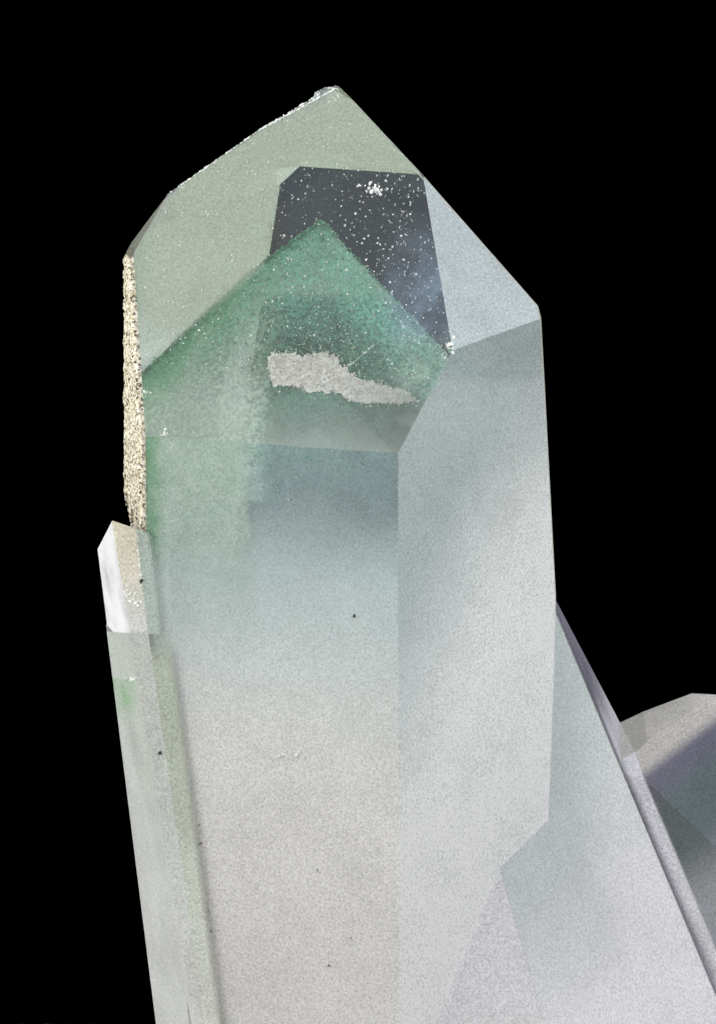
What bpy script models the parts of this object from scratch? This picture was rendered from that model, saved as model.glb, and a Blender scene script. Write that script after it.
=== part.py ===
"""Fuchsite in quartz: a cluster of four intergrown quartz crystals.

The tall upright crystal holds a pyramid of green fuchsite, an older crystal tip
that the later quartz grew over. The cluster is cut flat underneath, where it was
broken from its pocket. Everything is in metres, Z up, with the origin on the flat
cut below the tall crystal and the viewer at -Y.
"""
import math
import random

import bmesh
import bpy
from mathutils import Vector, noise

MM = 0.001

# Heights, in millimetres
CUT_HEIGHT = 0.0
RIM_HEIGHT = 35.3
JOIN_GAP = 0.3

# Fuchsite phantom, in millimetres
FILM_THICKNESS = 0.45
FILM_GAP = 0.3

# Crystal faces: compass direction and upward slope of the face's normal in
# degrees, then its distance from the origin in millimetres. Direction 0 looks at
# the viewer and positive directions turn to the right.
TALL_PRISM = {
    "front": (-15.0, 0.0, 6.60),
    "front right": (46.3, 0.2, 7.10),
    "right": (105.0, 0.0, 8.62),
    "right upper": (105.0, 4.1, 10.75),
    "right lower": (105.0, -1.9, 7.68),
    "back": (165.0, 0.0, 8.80),
    "back left": (-135.0, 0.0, 9.05),
    "back left upper": (-135.0, 4.5, 11.38),
    "left": (-83.6, 0.0, 8.48),
    "left lower": (-83.6, -4.6, 5.72),
}
TALL_TIP = {
    "large front tip": (-15.4, 37.75, 28.69),
    "small front right tip": (44.1, 36.9, 30.82),
    "right tip": (105.6, 39.1, 32.93),
    "back tip": (165.0, 38.2, 34.55),
    "back left tip": (-138.1, 35.8, 32.30),
    "small left tip": (-88.1, 33.6, 31.70),
    "worn point": (90.0, 66.0, 46.42),
    "worn point left": (-95.0, 62.0, 45.14),
}
PHANTOM = {
    "large front": (-15.4, 37.75, 24.49),
    "small front right": (44.1, 36.9, 27.60),
    "right": (106.2, 39.6, 28.88),
    "back": (165.0, 38.2, 30.20),
    "back left": (-138.0, 35.6, 28.00),
    "lower left": (-110.0, 41.6, 31.03),
    "front side": (-15.0, 0.0, 5.30),
    "front right side": (46.3, 0.2, 5.80),
    "right side": (105.0, 4.1, 9.30),
    "back side": (165.0, 0.0, 7.30),
    "back left side": (-135.0, 4.5, 9.90),
    "left side": (-83.6, 0.0, 7.65),
}
SMALL_UPPER = {
    "front": (-15.0, 0.0, 6.95),
    "left": (-72.7, -7.5, 5.63),
    "back left": (-128.0, -0.3, 6.80),
    "front right": (5.8, 2.75, 5.73),
    "left point": (-100.0, 30.1, 24.54),
    "back left point": (-150.0, 47.0, 28.10),
    "right point": (139.7, 58.0, 24.32),
    "right": (95.0, 6.0, -1.50),
    "back": (165.0, 0.0, 3.00),
}
SMALL_LOWER = {
    "front": (-15.0, 0.0, 7.05),
    "left": (-72.7, -7.5, 5.66),
    "back left": (-128.0, -0.3, 6.90),
    "front right": (5.8, 2.75, 5.83),
    "top": (-60.0, 82.0, 29.95),
    "right": (95.0, 6.0, -1.00),
    "back": (165.0, 0.0, 3.20),
}
LEANING = {
    "front": (18.1, 18.1, 10.67),
    "front right": (36.6, 20.5, 12.74),
    "right": (87.4, 23.2, 19.45),
    "back right": (149.0, 10.3, 16.26),
    "back right upper": (149.4, 31.2, 21.90),
    "back left": (-143.4, -20.5, -1.24),
    "left": (-92.6, -23.2, -6.95),
    "top": (-75.0, 15.0, 4.40),
    "back top": (175.0, 20.0, 15.30),
}
STUBBY = {
    "front": (-17.0, 0.0, -5.80),
    "front right": (43.0, 0.0, 10.20),
    "right": (103.0, 0.0, 21.60),
    "back": (163.0, 0.0, 17.40),
    "back left": (-137.0, 0.0, 1.60),
    "left": (-77.0, 0.0, -10.20),
    "front upper": (-17.0, 45.0, 10.90),
    "front right upper": (43.1, 45.0, 20.16),
    "right upper": (103.0, 40.0, 29.70),
    "back upper": (163.0, 52.0, 25.80),
    "back left upper": (-139.0, 52.0, 15.79),
    "left top": (-90.0, 63.7, 14.12),
    "flat top": (-90.0, 77.0, 18.72),
    "right top": (-90.0, 85.0, 21.30),
}

# Chips along the worn edge from the left shoulder to the point, as the share of
# the way up, the radius and the outward shift in millimetres
EDGE_CHIPS = (
    (0.06, 0.30, 0.22),
    (0.19, 0.34, 0.30),
    (0.31, 0.26, 0.22),
    (0.44, 0.24, 0.22),
    (0.58, 0.32, 0.28),
    (0.70, 0.40, 0.34),
    (0.80, 0.34, 0.27),
    (0.885, 0.42, 0.26),
)
LEFT_SHOULDER = Vector((-7.25, 1.80, 46.72))
POINT = Vector((-0.40, 3.55, 51.20))

# The rounded knob of late growth on the point: position and half widths in millimetres
KNOB = (-0.32, 3.62, 50.44)
KNOB_HALF = (0.68, 0.52, 0.53)

# Single chips: position and radius in millimetres
CORNER_CHIPS = (
    (4.72, -5.16, 42.12, 0.28),
    (-7.18, -4.92, 38.38, 0.20),
    (8.40, -1.22, 42.55, 0.16),
    (7.30, 5.95, 41.60, 0.55),
    (-2.00, 9.95, 41.90, 0.50),
)

# Granular contact strip on the left side of the tall crystal, in millimetres
STRIP_LOW = 32.6
STRIP_HIGH = 46.5
STRIP_RELIEF = 0.17
STRIP_GRAIN = 0.55
STRIP_INSET = 0.03


def clean_scene():
    for obj in list(bpy.data.objects):
        bpy.data.objects.remove(obj, do_unlink=True)
    for old in list(bpy.data.collections):
        bpy.data.collections.remove(old)


def new_collection(name):
    group = bpy.data.collections.new(name)
    bpy.context.scene.collection.children.link(group)
    return group


def new_material(name, color, roughness):
    mat = bpy.data.materials.new(name)
    mat.use_nodes = True
    shader = mat.node_tree.nodes["Principled BSDF"]
    shader.inputs["Base Color"].default_value = (*color, 1.0)
    shader.inputs["Roughness"].default_value = roughness
    shader.inputs["Metallic"].default_value = 0.0
    mat.diffuse_color = (*color, 1.0)
    return mat


def face_normal(direction, slope):
    turn = math.radians(direction)
    rise = math.radians(slope)
    return Vector((
        math.sin(turn) * math.cos(rise),
        -math.cos(turn) * math.cos(rise),
        math.sin(rise),
    ))


def cut(bm, normal, distance):
    """Trim the solid by one flat face and close it."""
    result = bmesh.ops.bisect_plane(
        bm,
        geom=bm.verts[:] + bm.edges[:] + bm.faces[:],
        dist=1e-9,
        plane_co=normal * distance * MM,
        plane_no=normal,
        clear_outer=True,
    )
    rim = [e for e in result["geom_cut"] if isinstance(e, bmesh.types.BMEdge)]
    if len(rim) > 2:
        bmesh.ops.contextual_create(bm, geom=rim)


def crystal_mesh(name, faces, low, high, growth=0.0):
    """A block cut down by crystal faces, each moved out by the growth."""
    bm = bmesh.new()
    bmesh.ops.create_cube(bm, size=140.0 * MM)
    for direction, slope, distance in faces.values():
        cut(bm, face_normal(direction, slope), distance + growth)
    cut(bm, Vector((0.0, 0.0, -1.0)), -low)
    cut(bm, Vector((0.0, 0.0, 1.0)), high)
    bmesh.ops.dissolve_degenerate(bm, dist=1e-6, edges=bm.edges[:])
    bmesh.ops.recalc_face_normals(bm, faces=bm.faces[:])
    mesh = bpy.data.meshes.new(name)
    bm.to_mesh(mesh)
    bm.free()
    return mesh


def add_object(name, mesh, group, mat=None):
    obj = bpy.data.objects.new(name, mesh)
    group.objects.link(obj)
    if mat is not None:
        mesh.materials.append(mat)
    return obj


def add_tool(name, mesh, group):
    obj = add_object(name, mesh, group)
    obj.hide_render = True
    obj.display_type = "WIRE"
    return obj


def combine(obj, tool, operation):
    mod = obj.modifiers.new(tool.name, "BOOLEAN")
    mod.operation = operation
    mod.solver = "EXACT"
    mod.object = tool
    return mod


def chip_mesh(name, center, radius, seed):
    """An angular fragment, the form that breaks out of a crystal edge."""
    rng = random.Random(seed)
    bm = bmesh.new()
    bmesh.ops.create_icosphere(bm, subdivisions=1, radius=radius * MM)
    for vert in bm.verts:
        vert.co *= rng.uniform(0.72, 1.12)
        vert.co += Vector(center) * MM
    mesh = bpy.data.meshes.new(name)
    bm.to_mesh(mesh)
    bm.free()
    return mesh


def strip_mesh(name, low, high):
    """A granular slab laid on the left side, where another crystal leaned."""
    direction, slope, distance = TALL_PRISM["left"]
    normal = face_normal(direction, slope)
    along = Vector((0.0, 0.0, 1.0)).cross(normal)
    rows = max(2, round((high - low) / STRIP_GRAIN))
    columns = 17
    width = 9.6
    bm = bmesh.new()
    grid = bmesh.ops.create_grid(bm, x_segments=columns, y_segments=rows, size=0.5)
    start = normal * (distance - 0.35)
    middle = (low + high) / 2.0
    for vert in grid["verts"]:
        across = vert.co.x * width + 0.9
        up = middle + vert.co.y * (high - low)
        grain = noise.noise(Vector((across * 1.9, up * 1.9, 3.0)))
        lump = noise.noise(Vector((across * 0.5, up * 0.4, 9.0)))
        relief = 0.03 + STRIP_RELIEF * (0.46 + 0.58 * grain + 0.25 * lump)
        side = start + along * across + normal * (0.35 + max(relief, -0.05))
        vert.co = Vector((side.x, side.y, up)) * MM
    front = bm.faces[:]
    back = bmesh.ops.extrude_face_region(bm, geom=front)
    moved = [v for v in back["geom"] if isinstance(v, bmesh.types.BMVert)]
    for vert in moved:
        depth = vert.co.dot(normal) - (distance - 0.35) * MM
        vert.co -= normal * depth
    bmesh.ops.recalc_face_normals(bm, faces=bm.faces[:])
    mesh = bpy.data.meshes.new(name)
    bm.to_mesh(mesh)
    bm.free()
    return mesh


def knob_mesh(name):
    """A blunt rounded nub, slightly uneven."""
    bm = bmesh.new()
    bmesh.ops.create_icosphere(bm, subdivisions=2, radius=1.0)
    for vert in bm.verts:
        way = vert.co.normalized()
        reach = 1.0 + 0.06 * noise.noise(way * 2.3)
        vert.co = Vector([KNOB[i] + way[i] * KNOB_HALF[i] * reach for i in range(3)]) * MM
    mesh = bpy.data.meshes.new(name)
    bm.to_mesh(mesh)
    bm.free()
    return mesh


def add_strip(obj, name, tall, low, high, tools):
    """Fuse the granular slab to the crystal, trimmed by the crystal's faces."""
    strip = add_tool(name, strip_mesh(name, low - 0.8, high + 0.8), tools)
    outline = dict(tall)
    outline["left"] = (-83.6, 0.0, 9.2)
    outline["left lower"] = (-83.6, 0.0, 9.2)
    trim = crystal_mesh(
        name + "_trim", outline, low + STRIP_INSET, high - STRIP_INSET, -STRIP_INSET
    )
    combine(strip, add_tool(name + "_trim", trim, tools), "INTERSECT")
    combine(obj, strip, "UNION")


def foot_mesh(name):
    """The rounded lump of massive quartz that ties the crystals together."""
    bm = bmesh.new()
    bmesh.ops.create_icosphere(bm, subdivisions=4, radius=1.0)
    for vert in bm.verts:
        way = vert.co.normalized()
        lump = noise.noise(way * 1.7 + Vector((4.0, 1.0, 7.0)))
        knob = noise.noise(way * 5.0 + Vector((2.0, 8.0, 5.0)))
        reach = 1.0 + 0.20 * lump + 0.07 * knob
        vert.co = Vector((
            (4.6 + way.x * 14.6 * reach) * MM,
            (3.2 + way.y * 10.4 * reach) * MM,
            (0.4 + way.z * 6.4 * reach) * MM,
        ))
    cut(bm, Vector((0.0, 0.0, -1.0)), -CUT_HEIGHT)
    bmesh.ops.triangulate(bm, faces=bm.faces[:])
    bmesh.ops.recalc_face_normals(bm, faces=bm.faces[:])
    mesh = bpy.data.meshes.new(name)
    bm.to_mesh(mesh)
    bm.free()
    return mesh


def main():
    clean_scene()
    parts = new_collection("fuchsite in quartz")
    tools = new_collection("growth and breakage")
    clear = new_material("clear quartz", (0.62, 0.70, 0.64), 0.12)
    milky = new_material("milky quartz", (0.66, 0.70, 0.67), 0.18)
    green = new_material("green fuchsite", (0.20, 0.45, 0.31), 0.45)

    # The tall crystal and its neighbours below the phantom's rim
    tall = {**TALL_PRISM, **TALL_TIP}
    body_top = RIM_HEIGHT - JOIN_GAP
    body = add_object(
        "quartz_crystals",
        crystal_mesh("quartz_crystals", tall, CUT_HEIGHT, body_top),
        parts,
        milky,
    )
    plug = crystal_mesh(
        "phantom_heart", PHANTOM, body_top - 1.0, 60.0, -FILM_THICKNESS - FILM_GAP
    )
    combine(body, add_tool("phantom_heart", plug, tools), "UNION")
    neighbours = (
        ("small_crystal_lower", SMALL_LOWER),
        ("small_crystal_upper", SMALL_UPPER),
        ("leaning_crystal", LEANING),
        ("stubby_crystal", STUBBY),
    )
    for name, faces in neighbours:
        mesh = crystal_mesh(name, faces, CUT_HEIGHT, 60.0)
        combine(body, add_tool(name, mesh, tools), "UNION")
    combine(body, add_tool("massive_foot", foot_mesh("massive_foot"), tools), "UNION")
    add_strip(body, "contact_strip_low", tall, STRIP_LOW, body_top, tools)

    # The clear tip that grew over the phantom
    tip = add_object(
        "quartz_tip", crystal_mesh("quartz_tip", tall, RIM_HEIGHT, 60.0), parts, clear
    )
    add_strip(tip, "contact_strip", tall, RIM_HEIGHT, STRIP_HIGH, tools)
    combine(tip, add_tool("knob", knob_mesh("knob"), tools), "UNION")
    for index, (share, radius, shift) in enumerate(EDGE_CHIPS):
        spot = LEFT_SHOULDER.lerp(POINT, share) + Vector((-0.55, 0.25, 0.80)) * shift
        mesh = chip_mesh("edge_chip_%d" % index, spot, radius, 11 + index)
        combine(tip, add_tool("edge_chip_%d" % index, mesh, tools), "DIFFERENCE")
    for index, (x, y, z, radius) in enumerate(CORNER_CHIPS):
        mesh = chip_mesh("corner_chip_%d" % index, (x, y, z), radius, 41 + index)
        combine(tip, add_tool("corner_chip_%d" % index, mesh, tools), "DIFFERENCE")
    pocket = crystal_mesh("phantom_pocket", PHANTOM, RIM_HEIGHT - 1.0, 60.0, FILM_GAP)
    combine(tip, add_tool("phantom_pocket", pocket, tools), "DIFFERENCE")

    # The fuchsite film between them
    film = add_object(
        "fuchsite_phantom",
        crystal_mesh("fuchsite_phantom", PHANTOM, RIM_HEIGHT, 60.0),
        parts,
        green,
    )
    heart = crystal_mesh(
        "film_inside", PHANTOM, RIM_HEIGHT - 1.0, 60.0, -FILM_THICKNESS
    )
    combine(film, add_tool("film_inside", heart, tools), "DIFFERENCE")


main()
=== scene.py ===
"""Looks of the fuchsite in quartz: clear and milky quartz round a green phantom.

Lengths in the tables are millimetres. The viewer of the photograph is at -Y.
"""

import math
import random

import bmesh
import bpy
from mathutils import Matrix, Vector, noise


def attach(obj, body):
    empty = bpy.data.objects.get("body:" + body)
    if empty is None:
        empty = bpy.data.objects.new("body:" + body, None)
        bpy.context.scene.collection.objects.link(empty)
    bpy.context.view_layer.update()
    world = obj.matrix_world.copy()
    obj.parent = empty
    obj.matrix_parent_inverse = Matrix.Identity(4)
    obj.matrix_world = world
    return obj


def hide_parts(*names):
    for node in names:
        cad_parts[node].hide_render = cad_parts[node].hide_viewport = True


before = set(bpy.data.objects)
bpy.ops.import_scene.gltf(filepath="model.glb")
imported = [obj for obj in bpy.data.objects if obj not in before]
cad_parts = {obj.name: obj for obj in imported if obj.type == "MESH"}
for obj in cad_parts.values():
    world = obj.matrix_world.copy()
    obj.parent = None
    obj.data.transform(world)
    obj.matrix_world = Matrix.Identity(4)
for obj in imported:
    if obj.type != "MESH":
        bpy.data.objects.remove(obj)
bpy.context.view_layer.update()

MM = 0.001
BODY = "root"
UP = Vector((0.0, 0.0, 1.0))

# Width of the block that each crystal is cut from, and the height that it ends at
BLOCK = 140.0
BLOCK_TOP = 60.0

# Height of the tall crystal's tip, and the level that chance points spread around
TIP_TOP = 50.9
TIP_LEVEL = 42.0

# Crystal faces: compass direction and upward slope of the face's normal in
# degrees, then its distance from the origin in millimetres
TALL = {
    "front": (-15.0, 0.0, 6.60),
    "front right": (46.3, 0.2, 7.10),
    "right": (105.0, 0.0, 8.62),
    "right upper": (105.0, 4.1, 10.75),
    "right lower": (105.0, -1.9, 7.68),
    "back": (165.0, 0.0, 8.80),
    "back left": (-135.0, 0.0, 9.05),
    "back left upper": (-135.0, 4.5, 11.38),
    "left": (-83.6, 0.0, 8.48),
    "left lower": (-83.6, -4.6, 5.72),
    "large front tip": (-15.4, 37.75, 28.69),
    "small front right tip": (44.1, 36.9, 30.82),
    "right tip": (105.6, 39.1, 32.93),
    "back tip": (165.0, 38.2, 34.55),
    "back left tip": (-138.1, 35.8, 32.30),
    "small left tip": (-88.1, 33.6, 31.70),
    "worn point": (90.0, 66.0, 46.42),
    "worn point left": (-95.0, 62.0, 45.14),
}
PHANTOM = {
    "large front": (-15.4, 37.75, 24.49),
    "small front right": (44.1, 36.9, 27.60),
    "right": (106.2, 39.6, 28.88),
    "back": (165.0, 38.2, 30.20),
    "back left": (-138.0, 35.6, 28.00),
    "lower left": (-110.0, 41.6, 31.03),
    "front side": (-15.0, 0.0, 5.30),
    "front right side": (46.3, 0.2, 5.80),
    "right side": (105.0, 4.1, 9.30),
    "back side": (165.0, 0.0, 7.30),
    "back left side": (-135.0, 4.5, 9.90),
    "left side": (-83.6, 0.0, 7.65),
}
SMALL_UPPER = {
    "front": (-15.0, 0.0, 6.95),
    "left": (-72.7, -7.5, 5.63),
    "back left": (-128.0, -0.3, 6.80),
    "front right": (5.8, 2.75, 5.73),
    "left point": (-100.0, 30.1, 24.54),
    "back left point": (-150.0, 47.0, 28.10),
    "right point": (139.7, 58.0, 24.32),
    "right": (95.0, 6.0, -1.50),
    "back": (165.0, 0.0, 3.00),
}
SMALL_LOWER = {
    "front": (-15.0, 0.0, 7.05),
    "left": (-72.7, -7.5, 5.66),
    "back left": (-128.0, -0.3, 6.90),
    "front right": (5.8, 2.75, 5.83),
    "top": (-60.0, 82.0, 29.95),
    "right": (95.0, 6.0, -1.00),
    "back": (165.0, 0.0, 3.20),
}
LEANING = {
    "front": (18.1, 18.1, 10.67),
    "front right": (36.6, 20.5, 12.74),
    "right": (87.4, 23.2, 19.45),
    "back right": (149.0, 10.3, 16.26),
    "back right upper": (149.4, 31.2, 21.90),
    "back left": (-143.4, -20.5, -1.24),
    "left": (-92.6, -23.2, -6.95),
    "top": (-75.0, 15.0, 4.40),
    "back top": (175.0, 20.0, 15.30),
}
STUBBY = {
    "front": (-17.0, 0.0, -5.80),
    "front right": (43.0, 0.0, 10.20),
    "right": (103.0, 0.0, 21.60),
    "back": (163.0, 0.0, 17.40),
    "back left": (-137.0, 0.0, 1.60),
    "left": (-77.0, 0.0, -10.20),
    "front upper": (-17.0, 45.0, 10.90),
    "front right upper": (43.1, 45.0, 20.16),
    "right upper": (103.0, 40.0, 29.70),
    "back upper": (163.0, 52.0, 25.80),
    "back left upper": (-139.0, 52.0, 15.79),
    "left top": (-90.0, 63.7, 14.12),
    "flat top": (-90.0, 77.0, 18.72),
    "right top": (-90.0, 85.0, 21.30),
}

# The lump of massive quartz at the foot: its middle and half widths
FOOT = (4.6, 3.2, 0.4)
FOOT_HALF = (14.6, 10.4, 6.4)

# Chips along the worn edge from the left shoulder to the point: share of the way
# up, radius and outward shift
EDGE_CHIPS = (
    (0.06, 0.30, 0.22), (0.19, 0.34, 0.30), (0.31, 0.26, 0.22), (0.44, 0.24, 0.22),
    (0.58, 0.32, 0.28), (0.70, 0.40, 0.34), (0.80, 0.34, 0.27), (0.885, 0.42, 0.26),
)
LEFT_SHOULDER = Vector((-7.25, 1.80, 46.72))
POINT = Vector((-0.40, 3.55, 51.20))

# The rounded knob of late growth on the point, and single chips with their radius
KNOB = (-0.32, 3.62, 50.37)
KNOB_HALF = (0.68, 0.52, 0.53)
CORNER_CHIPS = (
    (4.72, -5.16, 42.12, 0.28), (8.40, -1.22, 42.55, 0.16),
    (7.30, 5.95, 41.60, 0.55), (-2.00, 9.95, 41.90, 0.50),
)

# Outline of the pale step in the green layer
STEP = (
    (-2.41, 0.40, 39.67), (-1.63, 0.22, 39.72), (-1.09, 0.02, 39.65),
    (-0.31, -0.05, 39.84), (0.15, -0.18, 39.83), (0.52, -0.65, 39.37),
    (1.34, -1.17, 39.00), (2.49, -1.62, 38.84), (3.10, -1.90, 38.70),
    (3.71, -2.31, 38.40), (3.10, -2.22, 38.30), (2.28, -2.02, 38.26),
    (1.59, -1.92, 38.14), (0.85, -1.66, 38.24), (0.35, -1.30, 38.50),
    (-0.71, -1.07, 38.42), (-1.54, -0.72, 38.58), (-2.28, -0.56, 38.53),
    (-2.53, -0.08, 39.03),
)

# Dark specks on the front: position and radius
SPECKS = (
    (0.71, -7.02, 31.31, 0.060), (-5.75, -5.30, 21.65, 0.045),
    (-5.75, -5.30, 20.85, 0.055), (-5.40, -5.40, 17.90, 0.045),
    (-5.30, -5.42, 17.05, 0.050), (-0.86, -6.60, 20.14, 0.050),
    (0.54, -6.98, 17.29, 0.045), (-0.41, -6.72, 15.96, 0.050),
    (-8.07, -5.12, 32.20, 0.110), (-7.34, -5.44, 24.84, 0.070),
)

# White marks: middle, half widths, number of fragments, smallest and largest size
WHITE_MARKS = (
    ((1.53, 0.03, 47.40), (0.42, 0.30, 0.22), 46, 0.020, 0.100),
    ((0.95, 0.15, 47.55), (0.30, 0.15, 0.12), 10, 0.015, 0.050),
    ((2.05, -0.10, 47.50), (0.25, 0.15, 0.12), 10, 0.015, 0.060),
    ((4.60, -5.05, 42.20), (0.22, 0.14, 0.24), 34, 0.020, 0.080),
    ((4.35, -5.05, 41.75), (0.16, 0.14, 0.36), 16, 0.015, 0.050),
    ((-7.85, -3.45, 39.75), (0.12, 0.10, 0.14), 12, 0.020, 0.070),
    ((-7.05, -4.88, 38.40), (0.16, 0.04, 0.10), 26, 0.018, 0.060),
    ((-7.05, -4.86, 38.60), (0.05, 0.04, 0.10), 12, 0.016, 0.050),
    ((-0.02, 3.10, 50.40), (0.34, 0.10, 0.24), 44, 0.020, 0.090),
    ((-8.52, -4.98, 31.60), (0.32, 0.04, 0.30), 60, 0.012, 0.045),
    ((-8.25, -5.05, 31.25), (0.14, 0.04, 0.24), 30, 0.014, 0.050),
    ((-8.50, -5.10, 27.95), (0.12, 0.10, 0.07), 18, 0.014, 0.045),
)

# Fine white scratches: both ends and the number of fragments
SCRATCHES = (
    ((0.70, -0.92, 39.50), (1.81, -0.54, 40.38), 60),
    ((-2.02, -6.10, 37.00), (-1.98, -6.10, 35.90), 26),
    ((-2.35, -6.26, 25.15), (-1.85, -6.34, 24.92), 12),
    ((-1.85, -6.34, 24.92), (-1.50, -6.44, 25.40), 16),
    ((-2.60, -6.20, 24.98), (-2.30, -6.27, 25.02), 6),
    ((-8.22, -5.06, 33.70), (-8.08, -5.12, 32.30), 22),
    ((-9.20, -1.50, 26.85), (-8.20, -5.30, 28.10), 50),
)

scene = bpy.context.scene


# Solids

def normal_of(face):
    """The direction that a crystal face looks in."""
    turn = math.radians(face[0])
    rise = math.radians(face[1])
    return Vector((
        math.sin(turn) * math.cos(rise),
        -math.cos(turn) * math.cos(rise),
        math.sin(rise),
    ))


def cut(bm, normal, distance):
    """Trim the solid by one flat face and close it."""
    result = bmesh.ops.bisect_plane(
        bm,
        geom=bm.verts[:] + bm.edges[:] + bm.faces[:],
        dist=1e-9,
        plane_co=normal * distance * MM,
        plane_no=normal,
        clear_outer=True,
    )
    rim = [e for e in result["geom_cut"] if isinstance(e, bmesh.types.BMEdge)]
    if len(rim) > 2:
        bmesh.ops.contextual_create(bm, geom=rim)


def mesh_from(bm):
    mesh = bpy.data.meshes.new("mesh")
    bm.to_mesh(mesh)
    bm.free()
    return mesh


def crystal_mesh(faces, low=0.0, growth=0.0):
    """A block cut down by crystal faces, each moved out by the growth."""
    bm = bmesh.new()
    bmesh.ops.create_cube(bm, size=BLOCK * MM)
    for face in faces.values():
        cut(bm, normal_of(face), face[2] + growth)
    cut(bm, -UP, -low)
    cut(bm, UP, BLOCK_TOP)
    bmesh.ops.dissolve_degenerate(bm, dist=1e-6, edges=bm.edges[:])
    bmesh.ops.recalc_face_normals(bm, faces=bm.faces[:])
    return mesh_from(bm)


def foot_mesh(inset=0.0):
    """The rounded lump of massive quartz that ties the crystals together."""
    bm = bmesh.new()
    bmesh.ops.create_icosphere(bm, subdivisions=4, radius=1.0)
    for vert in bm.verts:
        way = vert.co.normalized()
        lump = noise.noise(way * 1.7 + Vector((4.0, 1.0, 7.0)))
        knob = noise.noise(way * 5.0 + Vector((2.0, 8.0, 5.0)))
        reach = 1.0 + 0.20 * lump + 0.07 * knob
        vert.co = Vector([
            (FOOT[i] + way[i] * (FOOT_HALF[i] * reach - inset)) * MM for i in range(3)
        ])
    cut(bm, -UP, -0.5 * inset)
    bmesh.ops.triangulate(bm, faces=bm.faces[:])
    bmesh.ops.recalc_face_normals(bm, faces=bm.faces[:])
    return mesh_from(bm)


def knob_mesh():
    """The blunt rounded nub on the point."""
    bm = bmesh.new()
    bmesh.ops.create_icosphere(bm, subdivisions=4, radius=1.0)
    for vert in bm.verts:
        way = vert.co.normalized()
        reach = 1.0 + 0.06 * noise.noise(way * 2.3) + 0.02 * noise.noise(way * 7.0)
        vert.co = Vector([KNOB[i] + way[i] * KNOB_HALF[i] * reach for i in range(3)]) * MM
    return mesh_from(bm)


def chip_mesh(center, radius, seed):
    """An angular fragment, the form that breaks out of a crystal edge."""
    rng = random.Random(seed)
    bm = bmesh.new()
    bmesh.ops.create_icosphere(bm, subdivisions=1, radius=radius * MM)
    for vert in bm.verts:
        vert.co *= rng.uniform(0.72, 1.12)
        vert.co += Vector(center) * MM
    return mesh_from(bm)


def new_object(name, data):
    data.name = name
    obj = bpy.data.objects.new(name, data)
    scene.collection.objects.link(obj)
    return obj


def settle(obj):
    """Turn what the modifiers show into the object's own plain mesh."""
    graph = bpy.context.evaluated_depsgraph_get()
    mesh = bpy.data.meshes.new_from_object(obj.evaluated_get(graph))
    obj.modifiers.clear()
    obj.data = mesh
    mesh.name = obj.name


def combine(obj, meshes, operation):
    """Fuse meshes to a solid, or take them away from it."""
    helpers = [new_object("helper", mesh) for mesh in meshes]
    for helper in helpers:
        mod = obj.modifiers.new("helper", "BOOLEAN")
        mod.operation = operation
        mod.solver = "EXACT"
        mod.object = helper
    settle(obj)
    for helper in helpers:
        bpy.data.objects.remove(helper, do_unlink=True)


def finish_piece(obj, mat):
    obj.data.materials.clear()
    obj.data.materials.append(mat)
    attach(obj, BODY)


# Chance points

def jitter(rng, spread):
    return Vector([rng.gauss(0.0, spread) for _ in range(3)])


def face_basis(normal):
    """The two directions in a face: level, and up the slope."""
    side = UP.cross(normal).normalized()
    return side, normal.cross(side)


def inside(faces, point, skip):
    """Whether a point in millimetres lies within all faces but one."""
    return all(
        normal_of(face).dot(point) < face[2] - 0.03
        for key, face in faces.items()
        if key != skip
    )


def face_points(faces, key, count, rng, depth, share, low):
    """Points on one crystal face, sunk to a depth between two values."""
    normal = normal_of(faces[key])
    side, up = face_basis(normal)
    middle = normal * faces[key][2]
    middle += up * ((TIP_LEVEL - middle.z) / up.z)
    points = []
    for _ in range(60 * count):
        if len(points) == count:
            break
        point = middle + side * rng.uniform(-10.0, 10.0) + up * rng.uniform(-9.0, 10.0)
        if point.z < low or (share is not None and rng.random() > share(point)):
            continue
        if inside(faces, point, key):
            points.append(point - normal * rng.uniform(*depth))
    return points


def line_points(start, end, count, rng, spread):
    """Points along a line, thinning out to both sides of it."""
    start, end = Vector(start), Vector(end)
    return [start.lerp(end, rng.random()) + jitter(rng, spread) for _ in range(count)]


def cloud_points(middle, half, count, rng):
    """Points in a flattened cloud, densest in its middle."""
    return [
        Vector([middle[i] + half[i] * rng.gauss(0.0, 0.5) for i in range(3)])
        for _ in range(count)
    ]


# Node trees

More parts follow.
